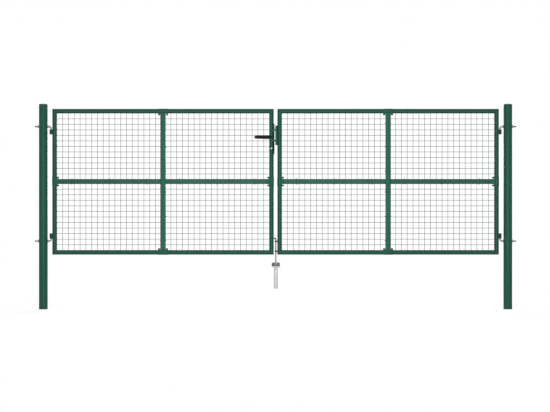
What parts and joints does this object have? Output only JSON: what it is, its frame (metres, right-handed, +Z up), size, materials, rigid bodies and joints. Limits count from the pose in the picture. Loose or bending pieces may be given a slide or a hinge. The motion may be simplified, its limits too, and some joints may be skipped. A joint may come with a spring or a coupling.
{
  "type": "double-leaf mesh garden gate with its posts",
  "caption": "Two green tube-framed gate leaves filled with welded mesh, hung on round posts, with a lever lock and a drop bolt.",
  "frame": {"origin": "foot of the left post, on its axis", "axes": "+X along the closed gate to the right post, +Z up, the front faces -Y"},
  "size_m": [4.225, 0.112, 1.802],
  "materials": {
    "green_steel": "semi-gloss powder coat",
    "dark_green_steel": "semi-gloss powder coat, darker",
    "green_plastic": "satin moulded plastic",
    "coated_wire": "semi-gloss coated wire",
    "zinc_steel": "dull galvanised",
    "light_zinc": "light galvanised",
    "nickel": "satin nickel",
    "black_plastic": "satin black"
  },
  "bodies": {
    "posts": {"left_post": "green_steel", "left_cap": "green_plastic", "left_upper_hinge_bolt": "zinc_steel", "left_lower_hinge_bolt": "zinc_steel", "left_hinge_nuts": "zinc_steel", "right_post": "green_steel", "right_cap": "green_plastic", "right_upper_hinge_bolt": "zinc_steel", "right_lower_hinge_bolt": "zinc_steel", "right_hinge_nuts": "zinc_steel", "ground_stop": "zinc_steel", "ground_socket": "light_zinc"},
    "left_leaf": {"left_top_rail": "green_steel", "left_bottom_rail": "green_steel", "left_outer_stile": "green_steel", "left_inner_stile": "green_steel", "left_mid_rail": "green_steel", "left_mid_post": "green_steel", "left_mesh_upper_outer": "coated_wire", "left_mesh_upper_inner": "coated_wire", "left_mesh_lower_outer": "coated_wire", "left_mesh_lower_inner": "coated_wire", "left_frame_clamps": "green_steel", "left_mesh_clips": "green_steel", "left_hinge_knuckles": "dark_green_steel", "lock_case": "dark_green_steel", "lever_bush": "dark_green_steel", "key_cylinder": "nickel"},
    "lever": {"lever_handle": "black_plastic"},
    "right_leaf": {"right_top_rail": "green_steel", "right_bottom_rail": "green_steel", "right_outer_stile": "green_steel", "right_inner_stile": "green_steel", "right_mid_rail": "green_steel", "right_mid_post": "green_steel", "right_mesh_upper_outer": "coated_wire", "right_mesh_upper_inner": "coated_wire", "right_mesh_lower_outer": "coated_wire", "right_mesh_lower_inner": "coated_wire", "right_frame_clamps": "green_steel", "right_mesh_clips": "green_steel", "right_hinge_knuckles": "dark_green_steel", "keep": "green_steel", "bolt_guides": "dark_green_steel"},
    "drop_bolt": {"drop_bolt": "zinc_steel"}
  },
  "joints": [
    {"name": "left_swing", "type": "hinge", "parent": "posts", "child": "left_leaf", "pos_m": [0.0687, 0, 1.1], "axis": [0, 0, 1], "range_deg": [0, 95]},
    {"name": "right_swing", "type": "hinge", "parent": "posts", "child": "right_leaf", "pos_m": [4.0073, 0, 1.1], "axis": [0, 0, 1], "range_deg": [0, 95]},
    {"name": "lever_turn", "type": "hinge", "parent": "left_leaf", "child": "lever", "pos_m": [2.002, 0, 1.509], "axis": [0, -1, 0], "range_deg": [0, 40], "stiffness_Nm_per_rad": 1.5, "springref_deg": -20.05},
    {"name": "bolt_slide", "type": "slide", "parent": "right_leaf", "child": "drop_bolt", "axis": [0, 0, 1], "range_m": [-0.01, 0.09]}
  ]
}
